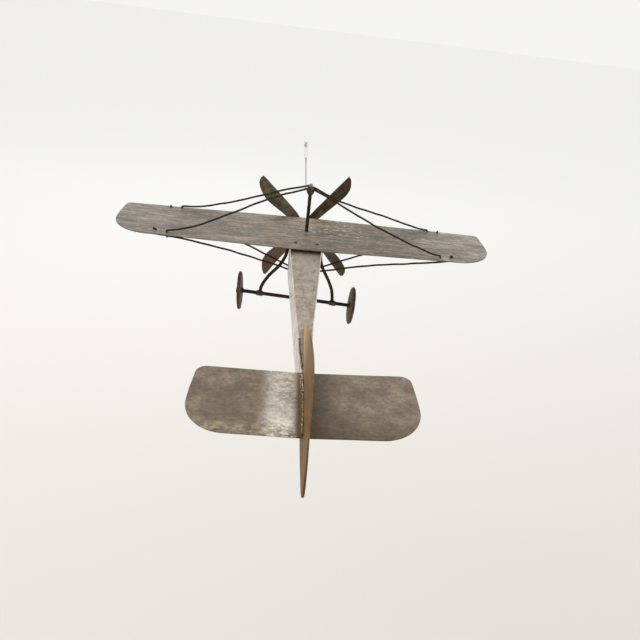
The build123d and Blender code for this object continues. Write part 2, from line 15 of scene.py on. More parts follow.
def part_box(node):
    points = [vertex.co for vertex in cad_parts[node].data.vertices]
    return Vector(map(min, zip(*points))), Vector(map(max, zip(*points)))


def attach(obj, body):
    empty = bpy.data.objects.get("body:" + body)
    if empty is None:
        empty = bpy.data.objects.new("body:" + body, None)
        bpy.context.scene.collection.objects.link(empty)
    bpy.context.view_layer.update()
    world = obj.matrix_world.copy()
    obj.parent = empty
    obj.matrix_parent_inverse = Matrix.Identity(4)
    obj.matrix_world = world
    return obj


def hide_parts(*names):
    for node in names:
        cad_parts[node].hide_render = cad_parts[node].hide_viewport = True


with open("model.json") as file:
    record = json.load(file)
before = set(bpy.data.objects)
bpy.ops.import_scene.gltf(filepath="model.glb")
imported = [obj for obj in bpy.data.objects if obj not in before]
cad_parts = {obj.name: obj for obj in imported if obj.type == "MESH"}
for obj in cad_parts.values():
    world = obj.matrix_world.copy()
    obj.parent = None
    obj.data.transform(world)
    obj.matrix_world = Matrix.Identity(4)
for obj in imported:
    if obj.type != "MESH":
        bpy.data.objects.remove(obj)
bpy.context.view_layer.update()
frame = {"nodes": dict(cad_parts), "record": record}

NODES = frame["nodes"]
RECORD = frame["record"]
BODY_OF = {node: body for body, nodes in RECORD["behaviour"]["bodies"].items() for node in nodes}
JOINTS = {joint["name"]: joint for joint in RECORD["behaviour"]["joints"]}

MM = 0.001
MAST_Y = 6.0
MAST_RADIUS = 2.3
HEAD_Z = 60.0
HEAD_TOP = 62.2
WELD = 1e-6


def at(x, y, z):
    """A point given in millimetres from the middle of the wing's upper surface."""
    return Vector((x, y - MAST_Y, z - HEAD_Z)) * MM


def joint_at(name):
    return Vector(JOINTS[name]["pos_m"])


# ---------------------------------------------------------------- mesh helpers

def cells(node, steps):
    """A CAD node's surface with its flat faces made whole and then cut into cells of steps millimetres."""
    shell = bmesh.new()
    shell.from_mesh(NODES[node].data)
    bmesh.ops.remove_doubles(shell, verts=shell.verts, dist=WELD)
    bmesh.ops.dissolve_limit(shell, angle_limit=radians(0.5), verts=shell.verts, edges=shell.edges)
    low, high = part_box(node)
    for axis, step in enumerate(steps):
        if step:
            count = max(1, round((high[axis] - low[axis]) / (step * MM)))
            across = Vector((axis == 0, axis == 1, axis == 2))
            for i in range(1, count):
                place = across * (low[axis] + (high[axis] - low[axis]) * i / count)
                bmesh.ops.bisect_plane(shell, geom=[*shell.verts, *shell.edges, *shell.faces],
                                       plane_co=place, plane_no=across, dist=WELD)
    return shell


def dent(shell, axis, depth, size, seed=0.0):
    """Moves both faces of a sheet together along one axis, by smooth noise of the given depth and size."""
    for vertex in shell.verts:
        spot = vertex.co.copy()
        spot[axis] = 0
        vertex.co[axis] += depth * MM * noise.noise(spot / (size * MM) + Vector((seed, 0, seed)))


def roughen(shell, depth, size, seed=0.0):
    """Pits and swells a surface along its normals."""
    shell.normal_update()
    offset = Vector((seed, seed, 0))
    moves = [v.normal * (depth * MM * noise.noise(v.co / (size * MM) + offset)) for v in shell.verts]
    for vertex, move in zip(shell.verts, moves):
        vertex.co += move


def wander(shell, depth, size, seed=0.0):
    """Lets a rod or wire wander sideways, as one bent by hand does."""
    for vertex in shell.verts:
        spot = Vector((vertex.co.x / (size * MM), 0, seed))
        vertex.co.y += depth * MM * noise.noise(spot)
        vertex.co.z += depth * MM * noise.noise(spot + Vector((0, 7.3, 0)))


def lathe(outline, segments=48):
    """A surface of revolution about local Z; outline pairs each radius with a height, in millimetres."""
    shell = bmesh.new()
    rings = []
    for radius, height in outline:
        if radius < WELD:
            rings.append([shell.verts.new((0, 0, height * MM))] * segments)
            continue
        rings.append([shell.verts.new((radius * MM * cos(2 * pi * i / segments),
                                       radius * MM * sin(2 * pi * i / segments), height * MM))
                      for i in range(segments)])
    for lower, upper in zip(rings, rings[1:]):
        for i in range(segments):
            j = (i + 1) % segments
            corners = []
            for vertex in (lower[i], lower[j], upper[j], upper[i]):
                if vertex not in corners:
                    corners.append(vertex)
            if len(corners) > 2:
                shell.faces.new(corners)
    bmesh.ops.recalc_face_normals(shell, faces=shell.faces)
    return shell


def ring_outline(bore, outline):
    """A lathe outline closed round a bore."""
    first = outline[0][1]
    last = outline[-1][1]
    return [(bore, first), *outline, (bore, last), (bore, first)]


def through(points, per_run=8):
    """Points on a smooth curve that passes through every given point."""
    spots = [Vector(p) for p in points]
    spots = [2 * spots[0] - spots[1], *spots, 2 * spots[-1] - spots[-2]]
    line = []
    for a, b, c, d in zip(spots, spots[1:], spots[2:], spots[3:]):
        for i in range(per_run):
            t = i / per_run
            line.append(0.5 * (2 * b + (c - a) * t + (2 * a - 5 * b + 4 * c - d) * t * t
                               + (3 * b - a - 3 * c + d) * t ** 3))
    line.append(spots[-2])
    return line


def tube(line, radius_at, sides=12):
    """A tube along a line of points in metres; radius_at gives millimetres for a place from 0 to 1."""
    shell = bmesh.new()
    side = None
    rings = []
    for i, spot in enumerate(line):
        along = (line[min(i + 1, len(line) - 1)] - line[max(i - 1, 0)]).normalized()
        if side is None:
            side = along.orthogonal().normalized()
        side = (side - along * side.dot(along)).normalized()
        up = along.cross(side)
        radius = radius_at(i / (len(line) - 1)) * MM
        angles = [2 * pi * k / sides for k in range(sides)]
        rings.append([shell.verts.new(spot + (side * cos(a) + up * sin(a)) * radius) for a in angles])
    for lower, upper in zip(rings, rings[1:]):
        for k in range(sides):
            j = (k + 1) % sides
            shell.faces.new((lower[k], lower[j], upper[j], upper[k]))
    shell.faces.new(list(reversed(rings[0])))
    shell.faces.new(rings[-1])
    return shell


def merge(target, *others):
    """Adds other shells to the first one."""
    for other in others:
        carrier = bpy.data.meshes.new("carrier")
        other.to_mesh(carrier)
        other.free()
        target.from_mesh(carrier)
        bpy.data.meshes.remove(carrier)
    return target


def piece(name, shell, node, material, sharp=38.0):
    """Makes a shell an object that stands for a CAD node and takes that node's body."""
    mesh = bpy.data.meshes.new(name)
    shell.to_mesh(mesh)
    shell.free()
    for polygon in mesh.polygons:
        polygon.use_smooth = True
    mesh.set_sharp_from_angle(angle=radians(sharp))
    mesh.materials.append(material)
    thing = bpy.data.objects.new(name, mesh)
    bpy.context.scene.collection.objects.link(thing)
    adopt(thing, node)
    return thing


def adopt(thing, node):
    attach(thing, BODY_OF[node])
    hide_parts(node)


def soften(thing, width):
    """Rounds a sheet's cut edges."""
    bevel = thing.modifiers.new("soft_edges", "BEVEL")
    bevel.width = width * MM
    bevel.segments = 2
    bevel.limit_method = "ANGLE"
    bevel.angle_limit = radians(50)
    bevel.use_clamp_overlap = True


def lump(node, voxel, depth, size, seed):
    """A solder or weld lump: the CAD solid melted together from small voxels and then roughened."""
    source = bpy.data.objects.new("lump_source", NODES[node].data.copy())
    bpy.context.scene.collection.objects.link(source)
    remesh = source.modifiers.new("melt", "REMESH")
    remesh.mode = "VOXEL"
    remesh.voxel_size = voxel * MM
    melted = bpy.data.meshes.new_from_object(source.evaluated_get(bpy.context.evaluated_depsgraph_get()))
    shell = bmesh.new()
    shell.from_mesh(melted)
    bpy.data.objects.remove(source)
    bpy.data.meshes.remove(melted)
    bmesh.ops.smooth_vert(shell, verts=shell.verts, factor=0.5,
                          use_axis_x=True, use_axis_y=True, use_axis_z=True)
    roughen(shell, depth, size, seed)
    roughen(shell, depth * 0.5, size * 0.4, seed + 3)
    return shell


# ---------------------------------------------------------------- material helpers

def srgb(red, green, blue):
    """A colour as it looks on a screen, 0 to 255, in the renderer's own linear values."""
    linear = [((c / 255 + 0.055) / 1.055) ** 2.4 if c > 10 else c / 3295 for c in (red, green, blue)]
    return (*linear, 1.0)


class Finish:
    """A node material that is built up layer by layer from object coordinates."""

    def __init__(self, name):
        self.material = bpy.data.materials.new(name)
        self.material.use_nodes = True
        self.nodes = self.material.node_tree.nodes
        self.links = self.material.node_tree.links
        self.shader = self.nodes["Principled BSDF"]
        self.where = self.add("ShaderNodeTexCoord").outputs["Object"]
        self.xyz = self.add("ShaderNodeSeparateXYZ", {"Vector": self.where}).outputs

    def add(self, kind, values=None, **settings):
        node = self.nodes.new(kind)
        for key, value in settings.items():
            setattr(node, key, value)
        for key, value in (values or {}).items():
            self.feed(node.inputs[key], value)
        return node

    def feed(self, socket, value):
        if isinstance(value, bpy.types.NodeSocket):
            self.links.new(value, socket)
        else:
            socket.default_value = value

    def stretched(self, size, stretch, seed):
        """Object coordinates scaled so that 1 is size millimetres, and more along a stretched axis."""
        scale = [1 / (size * MM * s) for s in stretch]
        return self.add("ShaderNodeMapping", {"Vector": self.where, "Scale": scale,
                                              "Location": (seed, seed * 1.7, seed * 0.6)}).outputs[0]

    def cloud(self, size, stretch=(1, 1, 1), detail=4.0, roughness=0.55, seed=0.0):
        place = self.stretched(size, stretch, seed)
        return self.add("ShaderNodeTexNoise", {"Vector": place, "Scale": 1.0, "Detail": detail,
                                               "Roughness": roughness}).outputs["Fac"]

    def specks(self, size, stretch=(1, 1, 1), seed=0.0):
        place = self.stretched(size, stretch, seed)
        return self.add("ShaderNodeTexVoronoi", {"Vector": place, "Scale": 1.0}).outputs["Distance"]

    def level(self, value, low, high, to_low=0.0, to_high=1.0):
        """value's range from low to high, made a smooth step from to_low to to_high."""
        return self.add("ShaderNodeMapRange", {"Value": value, "From Min": low, "From Max": high,
                                               "To Min": to_low, "To Max": to_high},
                        interpolation_type="SMOOTHSTEP").outputs[0]

    def along(self, axis, start, end):
        """0 to 1 between two places on an axis, in the frame's metres."""
        if start > end:
            return self.inverse(self.along(axis, end, start))
        return self.level(self.xyz[axis], start, end)

    def inverse(self, value):
        return self.math("SUBTRACT", 1.0, value)

    def math(self, operation, a, b):
        return self.add("ShaderNodeMath", {0: a, 1: b}, operation=operation).outputs[0]

    def product(self, *values):
        result = values[0]
        for value in values[1:]:
            result = self.math("MULTIPLY", result, value)
        return result

    def ramp(self, value, *stops):
        """Colour stops, each a place and a screen colour, along value."""
        node = self.add("ShaderNodeValToRGB", {"Fac": value})
        band = node.color_ramp
        while len(band.elements) < len(stops):
            band.elements.new(0.5)
        for element, (place, colour) in zip(band.elements, stops):
            element.position = place
            element.color = srgb(*colour)
        return node.outputs["Color"]

    def mix(self, value, a, b, mode="MIX"):
        node = self.add("ShaderNodeMix", data_type="RGBA", blend_type=mode)
        self.feed(node.inputs["Factor"], value)
        self.feed(node.inputs[6], a)
        self.feed(node.inputs[7], b)
        return node.outputs[2]

    def tone(self, colour, value, low, high):
        """Multiplies a colour by a grey from low to high."""
        factor = self.level(value, 0.3, 0.7, low, high)
        grey = self.add("ShaderNodeCombineColor", {"Red": factor, "Green": factor, "Blue": factor}).outputs[0]
        return self.mix(1.0, colour, grey, "MULTIPLY")

    def done(self, colour, metal, roughness, height=None, depth=0.05, strength=0.6):
        """Joins the layers to the shader; depth is the bump's height in millimetres."""
        self.feed(self.shader.inputs["Base Color"], colour)
        self.feed(self.shader.inputs["Metallic"], metal)
        self.feed(self.shader.inputs["Roughness"], roughness)
        if height is not None:
            bump = self.add("ShaderNodeBump", {"Height": height, "Strength": strength, "Distance": depth * MM})
            self.feed(self.shader.inputs["Normal"], bump.outputs[0])
        return self.material


# ---------------------------------------------------------------- materials

def wing_finish():
    """Dull sheet with fine rolling streaks along the span, mineral spots and a lighter right tip."""
    f = Finish("wing_streaked_sheet")
    low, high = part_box("wing")
    span = f.add("ShaderNodeMapRange", {"Value": f.xyz[0], "From Min": low[0], "From Max": high[0]}).outputs[0]
    base = f.ramp(span, (0.0, (124, 117, 108)), (0.2, (116, 107, 96)), (0.38, (128, 117, 102)),
                  (0.52, (120, 109, 95)), (0.68, (110, 99, 86)), (0.82, (120, 110, 98)), (1.0, (144, 136, 126)))
    patches = f.cloud(24, (2.2, 1, 1), 5, 0.6)
    streaks = f.cloud(2.3, (17, 1, 1), 7, 0.78, 3)
    hair = f.cloud(1.3, (5, 1, 1), 5, 0.75, 9)
    colour = f.tone(base, patches, 0.66, 1.34)
    colour = f.tone(colour, streaks, 0.38, 1.68)
    colour = f.tone(colour, hair, 0.62, 1.40)
    warm = f.level(f.cloud(14, (3, 1, 1), 4, 0.6, 21), 0.52, 0.72)
    colour = f.mix(f.product(warm, 0.22), colour, srgb(140, 116, 90))
    spots = f.level(f.specks(3.4, (1.9, 1, 1), 5), 0.05, 0.55, 1.0, 0.0)
    sparse = f.level(f.cloud(8, (2, 1, 1), 4, 0.6, 31), 0.44, 0.58)
    near_middle = f.product(f.along(0, -0.02, 0.012), f.along(0, 0.105, 0.055), f.along(1, -0.022, 0.006))
    bloom = f.product(spots, sparse, f.level(near_middle, 0.0, 1.0, 0.30, 1.0))
    colour = f.mix(bloom, colour, srgb(206, 202, 180))
    freckles = f.level(f.specks(4.5, (1.3, 1, 1), 14), 0.0, 0.16, 0.75, 0.0)
    colour = f.mix(f.product(freckles, sparse), colour, srgb(72, 58, 42))
    bare = f.product(f.level(f.cloud(6, (4, 1, 1), 4, 0.6, 41), 0.56, 0.7), f.along(0, 0.08, 0.19))
    colour = f.mix(f.product(bare, 0.7), colour, srgb(186, 180, 170))
    # Painted shade: below the top 0.4 mm, the wing's edge faces and underside are darkened as if in shadow.
    edge = f.level(f.xyz[2], low[2], high[2] - 0.4 * MM, 1.0, 0.0)
    colour = f.mix(f.product(edge, 0.75), colour, srgb(78, 70, 60))
    height = f.math("ADD", f.product(streaks, 0.6), f.product(spots, sparse, 0.5))
    return f.done(colour, 0.2, f.level(patches, 0.3, 0.7, 0.46, 0.66), height, 0.16)


def deck_finish(name, base, worn, shine, seed):
    """Pale fuselage sheet, blotched, with brown stain in the hollows and rubbed bright places."""
    f = Finish(name)
    blotches = f.cloud(7, (1, 1.6, 1), 6, 0.62, seed)
    fine = f.cloud(1.8, (1, 1.4, 1), 5, 0.65, seed + 4)
    colour = f.ramp(blotches, (0.30, base), (0.72, worn))
    colour = f.tone(colour, fine, 0.70, 1.27)
    stain = f.product(f.level(f.cloud(11, (1, 2.2, 1), 5, 0.6, seed + 8), 0.52, 0.72), 0.42)
    colour = f.mix(stain, colour, srgb(122, 102, 78))
    pits = f.level(f.specks(1.9, (1, 1.4, 1), seed), 0.0, 0.22, 0.6, 0.0)
    gate = f.level(f.cloud(5, (1, 1, 1), 3, 0.5, seed + 12), 0.50, 0.60)
    colour = f.mix(f.product(pits, gate), colour, srgb(104, 92, 76))
    tail = f.product(f.along(1, -0.255, -0.335), f.level(f.cloud(4, (1, 2, 1), 4, 0.6, seed + 15), 0.40, 0.62))
    colour = f.mix(f.product(tail, 0.6), colour, srgb(112, 96, 74))
    return f.done(colour, shine, f.level(blotches, 0.3, 0.7, 0.52, 0.32), fine, 0.06)


def side_finish():
    """The fuselage's sides: the same sheet, polished, painted much paler than the deck as a painted reflection,
    with a painted shadow of the wing towards the front.
    """
    f = Finish("fuselage_bright_side")
    blotches = f.cloud(8, (1, 2.5, 1), 5, 0.6, 2)
    fine = f.cloud(0.9, (1, 6, 1), 4, 0.6, 6)
    # Painted reflection: this ramp runs much paler than the deck sheet, to near-white, standing in for the
    # bright reflections on the polished sides.
    colour = f.ramp(blotches, (0.30, (166, 154, 138)), (0.52, (208, 199, 186)), (0.72, (234, 228, 218)))
    colour = f.tone(colour, fine, 0.78, 1.16)
    stain = f.product(f.level(f.cloud(9, (1, 2, 1), 5, 0.65, 19), 0.54, 0.68), 0.6)
    colour = f.mix(stain, colour, srgb(140, 118, 90))
    tail = f.product(f.along(1, -0.27, -0.325), f.level(f.cloud(3, (1, 2, 1), 4, 0.6, 25), 0.44, 0.60))
    colour = f.mix(f.product(tail, 0.75), colour, srgb(120, 100, 72))
    # Painted shadow of the wing: the side is darkened from just behind the wing's trailing edge forwards, where
    # the wing shades it.
    front = f.product(f.along(1, -0.075, -0.045), 0.65)
    colour = f.mix(front, colour, srgb(128, 112, 92))
    return f.done(colour, 0.45, f.level(blotches, 0.3, 0.7, 0.46, 0.28), fine, 0.05)


def fin_finish():
    """Warm tan-brown patina with fine scratches along the sheet, lighter towards the front."""
    f = Finish("fin_brown_patina")
    low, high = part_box("fin_rudder")
    place = f.add("ShaderNodeMapRange", {"Value": f.xyz[1], "From Min": low[1], "From Max": high[1]}).outputs[0]
    base = f.ramp(place, (0.0, (118, 88, 56)), (0.25, (118, 88, 56)), (0.5, (128, 100, 66)),
                  (0.75, (176, 148, 112)), (1.0, (184, 156, 120)))
    blotches = f.cloud(9, (1, 1.5, 1), 5, 0.6, 1)
    scratches = f.cloud(0.8, (1, 14, 1), 4, 0.6, 5)
    colour = f.tone(base, blotches, 0.76, 1.24)
    colour = f.tone(colour, scratches, 0.78, 1.2)
    dark = f.level(f.specks(3.4, (1, 1.4, 1), 8), 0.0, 0.20, 0.5, 0.0)
    gate = f.level(f.cloud(7, (1, 1, 1), 3, 0.5, 17), 0.5, 0.6)
    colour = f.mix(f.product(dark, gate), colour, srgb(84, 60, 36))
    # Painted shade: the rear 10 mm of the fin, its trailing edge, is darkened as if in shadow.
    rear = f.along(1, low[1] + 0.010, low[1] + 0.001)
    colour = f.mix(f.product(rear, 0.6), colour, srgb(70, 48, 28))
    f.shader.inputs["Specular IOR Level"].default_value = 0.15
    return f.done(colour, 0.0, f.level(blotches, 0.3, 0.7, 0.55, 0.72), scratches, 0.05)


def tail_finish(side):
    """Grey-brown patina; the left half has a painted reflection, a bright patch beside the fin, and olive
    corrosion behind; beside the fin both halves carry painted reflection and painted shade.
    """
    f = Finish("tail_patina_left" if side < 0 else "tail_patina_right")
    clouds = f.cloud(17, (1, 1, 1), 6, 0.62, 2 + side)
    fine = f.cloud(2.6, (1.3, 1, 1), 6, 0.68, 7 + side)
    rear = at(0, -385, 0).y
    if side < 0:
        colour = f.ramp(clouds, (0.28, (84, 70, 55)), (0.5, (113, 98, 81)), (0.74, (146, 131, 111)))
        grain = f.product(f.cloud(2, (1, 1, 1), 4, 0.6, 3), 0.35)
        rough_edge = f.level(f.math("ADD", f.cloud(8, (1, 1, 1), 6, 0.7, 12), grain), 0.50, 0.76)
        # Painted reflection: a near-white patch on the left half beside the fin, with a ragged edge, fading
        # towards the rear.
        reflection_patch = f.product(f.along(0, -0.037, -0.022), f.along(0, -0.0035, -0.0105))
        behind = f.level(f.xyz[1], rear + 0.004, rear + 0.030, 1.0, 0.62)
        painted_reflection = f.product(reflection_patch, f.level(rough_edge, 0.0, 1.0, 0.48, 1.0), behind)
        colour = f.mix(painted_reflection, colour, srgb(236, 228, 214))
        blotches = f.level(f.cloud(4.5, (1.6, 1, 1), 6, 0.7, 22), 0.44, 0.60)
        olive = f.product(f.along(1, rear + 0.019, rear + 0.003), blotches, f.along(0, -0.012, -0.026))
        colour = f.mix(f.product(olive, 0.85), colour, srgb(166, 152, 118))
        tufts = f.level(f.cloud(3, (2, 1, 1), 5, 0.7, 27), 0.48, 0.62)
        moss = f.product(f.along(1, rear + 0.014, rear + 0.001), tufts)
        colour = f.mix(f.product(moss, 0.8), colour, srgb(92, 78, 48))
    else:
        colour = f.ramp(clouds, (0.28, (96, 81, 64)), (0.5, (126, 111, 93)), (0.74, (156, 141, 122)))
        # Painted shade: the right half darkens towards the fin, where the fin shades it.
        fin_shade = f.along(0, 0.030, 0.002)
        colour = f.mix(f.product(fin_shade, 0.78), colour, srgb(68, 54, 40))
        back = f.along(1, rear + 0.024, rear)
        colour = f.mix(f.product(back, 0.7), colour, srgb(88, 68, 44))
    colour = f.tone(colour, fine, 0.74, 1.24)
    # A dark brown strip beside the fin: painted reflection of the fin on the left half, painted shade on the
    # right half.
    fin_reflection_and_shade = f.along(0, -0.0075, -0.0035) if side < 0 else f.along(0, 0.005, 0.0025)
    colour = f.mix(f.product(fin_reflection_and_shade, 0.85), colour, srgb(92, 68, 44))
    brown = f.level(f.specks(2.8, (1.4, 1, 1), 9 + side), 0.0, 0.2, 0.45, 0.0)
    gate = f.level(f.cloud(8, (1, 1, 1), 3, 0.5, 33), 0.5, 0.6)
    colour = f.mix(f.product(brown, gate), colour, srgb(78, 62, 44))
    return f.done(colour, 0.2, f.level(clouds, 0.3, 0.7, 0.44, 0.64), fine, 0.08)


def rust_finish(name, dark, mid, light, size, seed):
    """Rusted wire and rod: dark scale with brown and lighter orange grain."""
    f = Finish(name)
    scale = f.cloud(size * 3, (1, 1, 1), 5, 0.65, seed)
    grain = f.cloud(size * 0.7, (1, 1, 1), 5, 0.7, seed + 2)
    colour = f.ramp(scale, (0.30, dark), (0.55, mid), (0.80, light))
    colour = f.tone(colour, grain, 0.72, 1.22)
    flakes = f.level(f.specks(size, (1, 1, 1), seed), 0.0, 0.3, 0.6, 0.0)
    colour = f.mix(f.product(flakes, f.level(grain, 0.5, 0.62)), colour, srgb(*light))
    height = f.math("ADD", f.product(grain, 0.6), f.product(scale, 0.7))
    f.shader.inputs["Specular IOR Level"].default_value = 0.25
    return f.done(colour, 0.1, f.level(grain, 0.3, 0.7, 0.62, 0.85), height, 0.16, 0.9)


def blade_finish():
    """Dark olive-brown patina that thins to tan at the lower left blade and in worn patches."""
    f = Finish("blade_olive_patina")
    hub = joint_at("propeller_spin")
    clouds = f.cloud(11, (1, 1, 1), 5, 0.6, 4)
    fine = f.cloud(1.4, (1, 1, 1), 4, 0.6, 8)
    colour = f.ramp(clouds, (0.30, (54, 44, 32)), (0.52, (92, 79, 60)), (0.72, (134, 116, 90)))
    left = f.along(0, hub.x + 0.002, hub.x - 0.016)
    low_left = f.product(left, f.along(2, hub.z + 0.001, hub.z - 0.022))
    colour = f.mix(f.product(low_left, 0.72), colour, srgb(116, 90, 62))
    right = f.along(0, hub.x - 0.002, hub.x + 0.012)
    colour = f.mix(f.product(right, 0.42), colour, srgb(56, 48, 37))
    colour = f.tone(colour, fine, 0.62, 1.32)
    worn = f.product(f.level(f.cloud(5, (1, 1, 1), 5, 0.65, 15), 0.58, 0.70), 0.55)
    colour = f.mix(worn, colour, srgb(142, 122, 92))
    return f.done(colour, 0.35, f.level(clouds, 0.3, 0.7, 0.36, 0.55), fine, 0.07)


def wheel_finish():
    """Dark bronze-brown disc with turned rings and a little shine."""
    f = Finish("wheel_brown_disc")
    clouds = f.cloud(9, (1, 1, 1), 5, 0.6, 3)
    fine = f.cloud(1.2, (1, 1, 1), 4, 0.65, 7)
    colour = f.ramp(clouds, (0.30, (50, 38, 24)), (0.52, (74, 59, 39)), (0.74, (122, 100, 68)))
    colour = f.tone(colour, fine, 0.78, 1.18)
    spots = f.level(f.specks(2.6, (1, 1, 1), 4), 0.0, 0.2, 0.5, 0.0)
    colour = f.mix(f.product(spots, f.level(clouds, 0.48, 0.58)), colour, srgb(46, 34, 22))
    f.shader.inputs["Specular IOR Level"].default_value = 0.2
    return f.done(colour, 0.1, f.level(clouds, 0.3, 0.7, 0.55, 0.72), fine, 0.07)


def solder_finish(name, dark, mid, light, seed):
    """Rough solder: dull grey with brown flux left in the hollows and some bright crumbs."""
    f = Finish(name)
    lumps = f.cloud(1.6, (1, 1, 1), 5, 0.65, seed)
    fine = f.cloud(0.45, (1, 1, 1), 4, 0.65, seed + 5)
    colour = f.ramp(lumps, (0.34, dark), (0.52, mid), (0.70, light))
    colour = f.tone(colour, fine, 0.74, 1.2)
    return f.done(colour, 0.35, f.level(lumps, 0.3, 0.7, 0.66, 0.42), fine, 0.12, 0.9)


def steel_finish(name, base, worn, seed):
    f = Finish(name)
    clouds = f.cloud(2.2, (1, 1, 1), 4, 0.6, seed)
    fine = f.cloud(0.4, (1, 1, 1), 3, 0.6, seed + 3)
    colour = f.ramp(clouds, (0.32, base), (0.68, worn))
    colour = f.tone(colour, fine, 0.86, 1.12)
    return f.done(colour, 0.7, f.level(clouds, 0.3, 0.7, 0.34, 0.5), fine, 0.03)


def wood_finish():
    f = Finish("block_softwood")
    rings = f.cloud(1.6, (1, 9, 1), 4, 0.6, 2)
    fine = f.cloud(0.4, (1, 16, 1), 3, 0.6, 6)
    colour = f.ramp(rings, (0.32, (124, 90, 56)), (0.68, (172, 134, 90)))
    colour = f.tone(colour, fine, 0.86, 1.1)
    return f.done(colour, 0.0, 0.8, fine, 0.1)


def nylon_finish():
    f = Finish("clear_nylon")
    clouds = f.cloud(0.8, (1, 1, 3), 3, 0.5, 1)
    colour = f.ramp(clouds, (0.3, (196, 196, 194)), (0.7, (226, 227, 226)))
    f.shader.inputs["Transmission Weight"].default_value = 0.35
    f.shader.inputs["IOR"].default_value = 1.5
    return f.done(colour, 0.0, f.level(clouds, 0.3, 0.7, 0.18, 0.34), clouds, 0.02)


WING = wing_finish()
DECK = deck_finish("fuselage_mottled_deck", (124, 112, 97), (168, 157, 141), 0.2, 3.0)
UNDER = deck_finish("fuselage_dull_belly", (112, 102, 88), (146, 137, 122), 0.25, 9.0)
SIDE = side_finish()
FIN = fin_finish()
ROD_RUST = rust_finish("rod_dark_rust", (30, 20, 13), (50, 35, 24), (92, 68, 48), 1.6, 2.0)
WIRE_RUST = rust_finish("wire_dark_rust", (36, 25, 18), (56, 41, 31), (98, 78, 60), 1.1, 6.0)
BINDING_RUST = rust_finish("binding_red_rust", (52, 32, 25), (92, 62, 51), (142, 110, 94), 0.9, 9.0)
BLADE = blade_finish()
WHEEL = wheel_finish()
SOLDER = solder_finish("solder_brown_flux", (72, 54, 36), (112, 92, 66), (168, 150, 122), 3.0)
SEAM = solder_finish("solder_crumbly_seam", (58, 44, 28), (128, 110, 78), (206, 192, 158), 8.0)
BRAZE = solder_finish("braze_dark_lump", (44, 33, 24), (66, 50, 38), (112, 90, 68), 5.0)
SCREW = steel_finish("screw_brown_steel", (70, 54, 38), (112, 94, 72), 2.0)
HANGER_STEEL = steel_finish("hanger_grey_steel", (86, 85, 84), (128, 127, 125), 5.0)
KNOB = steel_finish("knob_pale_steel", (120, 108, 92), (168, 158, 142), 7.0)
WOOD = wood_finish()
NYLON = nylon_finish()


# ---------------------------------------------------------------- sheets

def sheet(node, steps, axis, material, dents, edge, seed):
    """A dented sheet: dents pairs depths with sizes in millimetres; edge is how far its edges are rounded."""
    shell = cells(node, steps)
    for depth, size in dents:
        dent(shell, axis, depth, size, seed)
    thing = piece(node + "_sheet", shell, node, material, 40.0)
    if edge:
        soften(thing, edge)
    return thing


def make_sheets():
    sheet("wing", (5, 4, 0), 2, WING, ((0.35, 75), (0.10, 18)), 0, 1.0)
    sheet("fuselage_left_side", (0, 6, 5), 0, SIDE, ((0.18, 40), (0.07, 12)), 0.15, 2.0)
    sheet("fuselage_right_side", (0, 6, 5), 0, SIDE, ((0.18, 40), (0.07, 12)), 0.15, 3.0)
    sheet("fuselage_deck", (4, 5, 0), 2, DECK, ((0.22, 32), (0.08, 10)), 0.1, 4.0)
    sheet("fuselage_belly", (6, 6, 0), 2, UNDER, ((0.22, 32), (0.08, 10)), 0.1, 5.0)
    sheet("fin_rudder", (0, 5, 4), 0, FIN, ((0.30, 45), (0.07, 12)), 0.3, 6.0)
    sheet("tailplane_left", (4, 4, 0), 2, tail_finish(-1), ((0.30, 38), (0.08, 11)), 0.3, 7.0)
    sheet("tailplane_right", (4, 4, 0), 2, tail_finish(1), ((0.30, 38), (0.08, 11)), 0.3, 8.0)
    sheet("nose_plate", (4, 0, 4), 1, UNDER, ((0.15, 20),), 0.4, 9.0)


def make_blocks():
    for node in ("nose_block", "mast_former", "screw_former"):
        shell = cells(node, (5, 5, 5))
        roughen(shell, 0.05, 3.0)
        soften(piece(node + "_wood", shell, node, WOOD, 30.0), 0.3)


# ---------------------------------------------------------------- wires, rods and solder

def make_rods():
    for i, side in enumerate(("left", "right")):
        for j, end in enumerate(("front", "rear")):
            for level in ("upper", "lower"):
                node = f"{level}_wire_{side}_{end}"
                shell = cells(node, (2.2, 0, 0))
                wander(shell, 0.55, 16, i * 5.0 + j * 2.0 + len(level))
                roughen(shell, 0.16, 2.2, i + j * 3.0)
                piece(node + "_wire", shell, node, WIRE_RUST, 60.0)
    for node, steps, seed in (("left_strut", (2.5, 0, 2.5), 1.0), ("right_strut", (2.5, 0, 2.5), 2.0),
                              ("axle", (2.0, 0, 0), 3.0), ("mast", (0, 0, 2.0), 4.0)):
        shell = cells(node, steps)
        pitting = 0.04 if node == "axle" else 0.22
        roughen(shell, pitting, 3.0, seed)
        roughen(shell, pitting / 2, 1.1, seed + 5)
        piece(node + "_rod", shell, node, ROD_RUST, 60.0)


def make_solder():
    for node, material, voxel, depth, size, seed in (
            ("tail_solder_left", SEAM, 0.3, 0.65, 2.0, 1.0), ("tail_solder_right", SOLDER, 0.3, 0.45, 2.2, 2.0),
            ("seam_solder", SEAM, 0.22, 0.7, 1.6, 3.0), ("left_strut_joint", BRAZE, 0.35, 0.45, 2.4, 4.0),
            ("right_strut_joint", BRAZE, 0.35, 0.45, 2.4, 5.0), ("left_wheel_stop", BRAZE, 0.3, 0.2, 1.8, 6.0),
            ("right_wheel_stop", BRAZE, 0.3, 0.2, 1.8, 7.0)):
        piece(node + "_lump", lump(node, voxel, depth, size, seed), node, material, 70.0)


